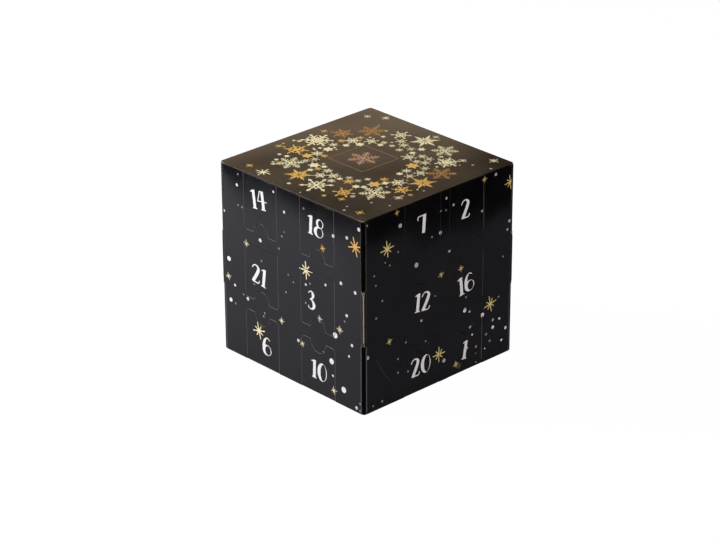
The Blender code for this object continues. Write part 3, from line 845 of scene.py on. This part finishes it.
rightPrint = {
    "numbers": (
        (7, 45, 15.3, -3), (2, 80, 16.5, -2), (12, 46.2, 63.8, -6), (16, 81.3, 64.1, 6), (20, 45, 104, -2),
        (1, 80.9, 106.5, -10)
    ),
    "stars": (
        (18.3, 22.2, 5.2, 6, "strawFoil"), (101.7, 83.8, 5.2, 12, "strawFoil"),
        (59.7, 102, 5, 0, "strawFoil"), (116.6, 10.8, 4.6, 8, "strawFoil"), (25.8, 2.4, 2, 10, "goldFoil"),
        (95.3, 3, 2.2, 0, "strawFoil"), (60.8, 51.7, 2.4, 20, "strawFoil"), (77, 53, 2.4, 4, "strawFoil"),
        (20, 80, 2.4, 16, "strawFoil"), (73.7, 113.5, 2.4, 7, "strawFoil"),
        (76.5, 115.6, 2.2, 25, "umberFoil")
    ),
    "dots": {
        "whiteInk": (
            (80.5, 80.8, 1.4), (95.3, 88.8, 1.4), (104.2, 99.8, 1.1), (115, 103.8, 1), (111.8, 110.8, 0.8),
            (109.6, 96, 0.8), (87, 98.8, 0.6), (97.7, 111.5, 0.5)
        ),
        "hazyWhiteInk": (
            (3.1, 84.5, 1.2), (28.3, 11, 1.3), (64.5, 5.3, 0.8), (70.3, 11.2, 0.8), (60, 25.2, 1.2),
            (104.5, 2.6, 1), (41.1, 39.3, 1.5), (67.3, 39.1, 0.9), (93.7, 22.2, 0.8), (116.6, 35.4, 1),
            (115, 40.4, 0.8), (45.3, 75.5, 0.8), (84.5, 83, 0.8), (85.1, 93.3, 0.9), (104.2, 95, 0.9),
            (63.8, 107.5, 1.3), (83, 106, 0.8)
        ),
        "thinWhiteInk": (
            (3, 3.2, 0.7), (60.2, 12, 0.7), (64.3, 12.7, 0.6), (53.3, 25.8, 0.7), (26.7, 26.5, 0.6),
            (16.8, 30, 0.6), (20.3, 32.7, 0.6), (8.3, 35.5, 0.6), (9.5, 41.7, 0.6), (14.5, 52.7, 0.7),
            (9.7, 62, 0.7), (56.3, 63.6, 0.6), (111.8, 56.6, 0.7), (81.5, 72.7, 0.7), (108.6, 81.5, 0.7),
            (33, 85, 0.7), (48.8, 89.7, 0.7), (26.8, 93.5, 0.7), (26.8, 102.2, 0.7), (34.8, 104.2, 0.7),
            (90.3, 107.7, 1), (98.7, 102.5, 0.9), (101.8, 107.8, 0.9), (14.3, 116, 0.8), (7.3, 116.5, 0.6),
            (90.3, 112, 0.5), (90.4, 117.9, 0.6)
        ),
    },
    "rubsAndHighlights": (
        (((9.7, 87.5, 0.2), (12.4, 93, 0.24), (16.4, 99.6, 0.24), (21.5, 106, 0.12)), "rubMark"),
        # pale lines along the right edge of a door: painted highlight
        (((94.5, 1.5, 0.07), (94.8, 14, 0.12), (95.05, 26, 0.11), (95.1, 34, 0.06)), "doorEdgeHighlight"),
        (((95.05, 46, 0.06), (95.1, 62, 0.08), (95.05, 76, 0.06)), "doorEdgeHighlight"),
        (((95.1, 88, 0.08), (95, 104, 0.2), (94.9, 117.5, 0.18)), "doorEdgeHighlight"),
    ),
}
backPrint = {
    "numbers": (
        (9, 34.5, 14.5, -4), (22, 82, 15.5, 5), (15, 34, 62, -6), (4, 80, 62, 0), (24, 35, 106, 3),
        (11, 82.5, 105.5, -3)
    ),
    "seed": 9,
}
leftPrint = {
    "numbers": (
        (5, 45.5, 15.5, 3), (19, 81, 16, -5), (23, 46, 63.5, 4), (8, 81.5, 64, 0), (13, 46, 104.5, -6),
        (17, 81, 106, 5)
    ),
    "seed": 5,
}


# Stars and dots thrown at a wall, clear of its numbers and one another
scatter = {
    "star": (5.6, 5.2, 5, 2.5, 2.4, 2.4, 2.3, 2.5, 2.4, 2.3),
    "dot": (2.4, 2.2, 2, 1.8, 1.6, 1.6, 1.5, 1.5, 1.4, 1.3, 1.3, 1.2, 1.2, 1.1, 1.1, 1, 1, 0.9, 0.9),
    "number": 8.5,              # radius of what a number takes up
    "gap": 1.2,
    "margins": (4, 1.5),        # from the wall's sides, and from its top and bottom
    "throws": 60,
    "inks": ("paleGoldFoil", "paleGoldFoil", "paleGoldFoil", "goldFoil"),
}


def scattered(settings):
    dice = random.Random(settings["seed"])
    taken = [(x, y, scatter["number"]) for _, x, y, _ in settings["numbers"]]
    stars, dots = [], []
    for radius in scatter["star"] + 2 * scatter["dot"]:
        for _ in range(scatter["throws"]):
            x, y = (dice.uniform(margin + radius, box["side"] - margin - radius)
                    for margin in scatter["margins"])
            if all((x - a) ** 2 + (y - b) ** 2 > (radius + r + scatter["gap"]) ** 2 for a, b, r in taken):
                break
        else:
            continue
        taken.append((x, y, radius))
        if radius in scatter["star"] and len(stars) < len(scatter["star"]):
            ink = dice.choice(scatter["inks"])
            stars.append((x, y, radius, dice.uniform(0, 45), ink))
        else:
            dots.append((x, y, radius))
    return {"numbers": settings["numbers"], "stars": stars, "dots": {"whiteInk": dots}}


def wallShapes(settings):
    shapes = [shape for ink, dots in settings["dots"].items() for shape in dotShapes(dots, ink)]
    shapes += starShapes(settings["stars"])
    for number, x, down, turn in settings["numbers"]:
        shapes += numberShape(number, x, box["side"] - down, turn)
    for points, ink in settings.get("rubsAndHighlights", ()):
        rubAndHighlight = stroke([(x, box["side"] - down, width) for x, down, width in points])
        shapes.append({"ink": ink, "loops": [(ordered(rubAndHighlight), 1)]})
    return shapes


# Where a door's crease crosses a wall, the board bulges a little
creaseBead = {
    "width": 0.7,
    "height": 0.045,
    "depth": 0.12,
    "foot": 0.2,                # half its underside's width, as a share of the whole
    "length": 28,
    "places": (                 # wall, height, and the two doors' middles from the wall's
        ("front", 75.56, (-25.5, 22.2)), ("right", 39.75, (-14, 21.5)),
        ("back", 75.56, (-25.5, 22.2)), ("left", 39.75, (-14, 21.5)),
    ),
}


def makeBead(name, wall, middle, level):
    section = [(sin(radians(turn)) / 2 * creaseBead["width"],
                cos(radians(turn)) * creaseBead["height"]) for turn in range(-90, 91, 30)]
    reach = creaseBead["width"] * creaseBead["foot"]
    section += [(reach, -creaseBead["depth"]), (-reach, -creaseBead["depth"])]
    points = [onFace(wall, half + middle + side * creaseBead["length"] / 2, level + up, out)
              for side in (-1, 1) for up, out in section]
    count = len(section)
    faces = [list(range(count)), list(range(2 * count - 1, count - 1, -1))]
    faces += [(step, step + count, (step + 1) % count + count, (step + 1) % count) for step in range(count)]
    bead = addMesh(name, points, faces, [wallBoard])
    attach(bead, "root")


for wall, level, middles in creaseBead["places"]:
    for letter, middle in zip("AB", middles):
        makeBead("crease_" + wall + letter, wall, middle, level)


# The strip of an upright corner lies between two rounded creases. Its ink is painted darker with almost
# no sheen, a painted shade, and its lower creases paler: rubbed, and a painted highlight
cornerStrip = {
    "film": 0.03,
    "back": 0.05,
    "crease": 0.36,             # from a fold to where its rounding ends
    "creaseRise": 0.1,
    "steps": 6,
    "spans": ((0.3, 42.8, 2), (77.2, 118.9, 0)),    # lower end, upper end, slot of the creases
}


def makeCorner(number):
    leg, ridge = box["spineLeg"], box["spineRidge"]
    first, last = Vector((half - leg, half)), Vector((half, half - leg))
    middle = Vector((half - ridge, half - ridge))
    lift = middle.normalized() * cornerStrip["film"]
    steps = cornerStrip["steps"]
    section = []
    for fold, before, after in ((first, Vector((-1, 0)), (middle - first).normalized()),
                                (last, (middle - last).normalized(), Vector((0, -1)))):
        out = -(before + after).normalized()
        if out.dot(fold) < 0:
            out = -out
        start, end = fold + before * cornerStrip["crease"], fold + after * cornerStrip["crease"]
        rise = fold + out * cornerStrip["creaseRise"]
        for step in range(steps + 1):
            t = step / steps
            section.append(start * (1 - t) ** 2 + rise * 2 * t * (1 - t) + end * t * t + lift)
        if fold is first:
            section.append(middle + lift)
    back = middle.normalized() * cornerStrip["back"]
    section += [point - back for point in (section[-1], middle, section[0])]
    creased = (*range(steps), *range(steps + 2, 2 * steps + 2))
    count = len(section)
    places, faces, slots = [], [], []
    for low, high, creaseSlot in cornerStrip["spans"]:
        base = len(places)
        for level in (low, high):
            for x, y in section:
                for _ in range(number):
                    x, y = -y, x
                places.append(Vector((x, y, level)) * mm)
        faces.append([base + step for step in range(count)])
        faces.append([base + count + step for step in reversed(range(count))])
        slots += [1, 1]
        for step in range(count):
            after = (step + 1) % count
            faces.append((base + after, base + step, base + step + count, base + after + count))
            slots.append(creaseSlot if step in creased else 1)
    materials = [wallBoard, inkMaterials["shadedStripInk"], inkMaterials["rubbedAndLitCreaseInk"]]
    corner = addMesh("corner_%d" % number, places, faces, materials, slots)
    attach(corner, "root")


for number in range(4):
    makeCorner(number)
print("creases made")


for wall, settings in (("front", frontPrint), ("right", rightPrint), ("back", scattered(backPrint)),
                       ("left", scattered(leftPrint))):
    inset = box["spineLeg"] + sheet["cornerGap"]
    top = box["side"] - sheet["lidFoldGap"] if wall == "right" else box["foldHeight"] - sheet["topFoldGap"]
    printSheet(wall, wallShapes(settings), rectangle(inset, sheet["baseGap"], box["side"] - inset, top))
print("walls printed")


# The lid's print: a wreath of foil crystals round a fine square frame, with stars and dots as on the walls
wreath = {
    "large": (                  # angle and distance from the lid's middle, radius, turn, kind, ink
        (88, 44, 9.6, 12, "bold", "paleGoldFoil"), (65, 46, 7, 0, "spark", "copperFoil"),
        (43, 47, 8.4, 20, "fern", "copperFoil"), (20, 45, 6.4, 8, "tipped", "paleGoldFoil"),
        (-1, 46, 9.4, 26, "leaf", "paleGoldFoil"), (-24, 48, 8.2, 10, "fern", "paleGoldFoil"),
        (-45, 46, 7.4, 30, "bold", "paleGoldFoil"), (-66, 46, 8.6, 15, "fern", "copperFoil"),
        (-88, 44, 8.8, 28, "leaf", "goldFoil"), (-108, 45, 6, 5, "spark", "goldFoil"),
        (-128, 45, 9.2, 22, "fern", "paleGoldFoil"), (-150, 46, 7, 0, "tipped", "goldFoil"),
        (-174, 44, 10, 14, "tipped", "paleGoldFoil"), (162, 43, 8.8, 8, "leaf", "goldFoil"),
        (138, 44, 8.6, 25, "fern", "paleGoldFoil"), (112, 45, 7.6, 3, "spark", "goldFoil")
    ),
    # radii of the crystals thrown between them, the ring they land in, and how near two may come
    "medium": ((5.4, 5.2, 5, 4.8, 4.6, 4.6, 4.4, 4.4, 4.2, 4.2, 4, 4, 3.8, 3.8, 3.8, 3.6, 3.6, 3.4, 3.4, 3.4,
                3.2, 3.2, 3.2, *5 * [3], *6 * [2.8], *6 * [2.6], *6 * [2.4], *6 * [2.2]), (25, 37), 0.8),
    "small": ((2, 2, 1.9, 1.8, 1.8, 1.7, 1.6, 1.6, 1.5, 1.5, 1.4, 1.4, 1.3, 1.3, 1.2, 1.2, 1.2, 1.1, 1.1, 1.1,
               1, 1, 1, 1, 0.9, 0.9, 0.9, 0.8, 0.8, 0.8), (25, 54), 0.9),
    "seed": 24,
    "throws": 400,
    "kinds": ("star", "spark", "star", "tipped"),
    "plainKinds": ("star", "star", "spark"),
    "plainUpTo": 2.2,           # radius
    "paleShare": 0.88,
    "stars": (
        (7, 29.8, 5.2, 12, "paleGoldFoil"), (8, 17, 2.7, 0, "goldFoil"),
        (108.5, 9.5, 2.6, 5, "paleGoldFoil"), (114.5, 19, 3, 9, "paleGoldFoil"),
        (7.5, 109.5, 3, 20, "goldFoil"), (113.6, 109.5, 3.6, 2, "paleGoldFoil"),
        (37, 109.5, 3, 14, "paleGoldFoil"), (39.5, 7, 2.6, 8, "goldFoil"), (74, 8.5, 2.6, 16, "goldFoil"),
        (23, 25.5, 2.4, 3, "goldFoil"), (13, 89, 2.6, 18, "goldFoil"), (115, 61, 2.4, 11, "paleGoldFoil"),
        (101, 97, 2.8, 6, "paleGoldFoil")
    ),
    "dots": (
        (3.6, 101, 0.9), (8.2, 98.4, 0.7), (21.5, 104, 0.8), (26, 114, 0.7), (104, 116.5, 0.9),
        (100.5, 105.5, 0.8), (54, 112.5, 0.7), (84, 107, 0.7), (20, 90.5, 1.5), (38.4, 86, 1.3),
        (44, 6, 0.8), (2.6, 66, 0.6), (103.5, 24.5, 0.7), (53.6, 96, 0.9)
    ),
    "frame": (62.2, 65.2, 29, 0.6),     # middle, side and line
    "middle": (9.5, 30, "fern", "roseFoil"),
}


def wreathShapes():
    dice = random.Random(wreath["seed"])
    shapes, taken = [], []
    for angle, distance, radius, turn, kind, ink in wreath["large"]:
        x, y = half + distance * cos(radians(angle)), half + distance * sin(radians(angle))
        shapes.append(crystalShape(x, y, radius, turn, kind, ink))
        taken.append((x, y, radius))
    for radii, ring, overlap in (wreath["medium"], wreath["small"]):
        for radius in radii:
            for _ in range(wreath["throws"]):
                angle, distance = dice.uniform(0, 2 * pi), dice.uniform(*ring)
                x, y = half + distance * cos(angle), half + distance * sin(angle)
                if all((x - a) ** 2 + (y - b) ** 2 > (overlap * (radius + r)) ** 2 for a, b, r in taken):
                    break
            else:
                continue
            taken.append((x, y, radius))
            kind = dice.choice(wreath["kinds" if radius > wreath["plainUpTo"] else "plainKinds"])
            ink = "paleGoldFoil" if dice.random() < wreath["paleShare"] else "goldFoil"
            shapes.append(crystalShape(x, y, radius, dice.uniform(0, 60), kind, ink))
    shapes += starShapes(wreath["stars"]) + dotShapes(wreath["dots"], "hazyWhiteInk")
    x, y, side, line = wreath["frame"]
    loops = [(rectangle(x - reach, y - reach, x + reach, y + reach), sign)
             for reach, sign in ((side / 2, 1), (side / 2 - line, -1))]
    shapes.append({"ink": "umberFoil", "loops": loops})
    shapes.append(crystalShape(x, y, *wreath["middle"]))
    return shapes


low, high = sheet["lidGap"], box["side"] - sheet["lidGap"]
printSheet("lid", wreathShapes(), rectangle(low, low, high, high))
print("lid printed")


low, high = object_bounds()
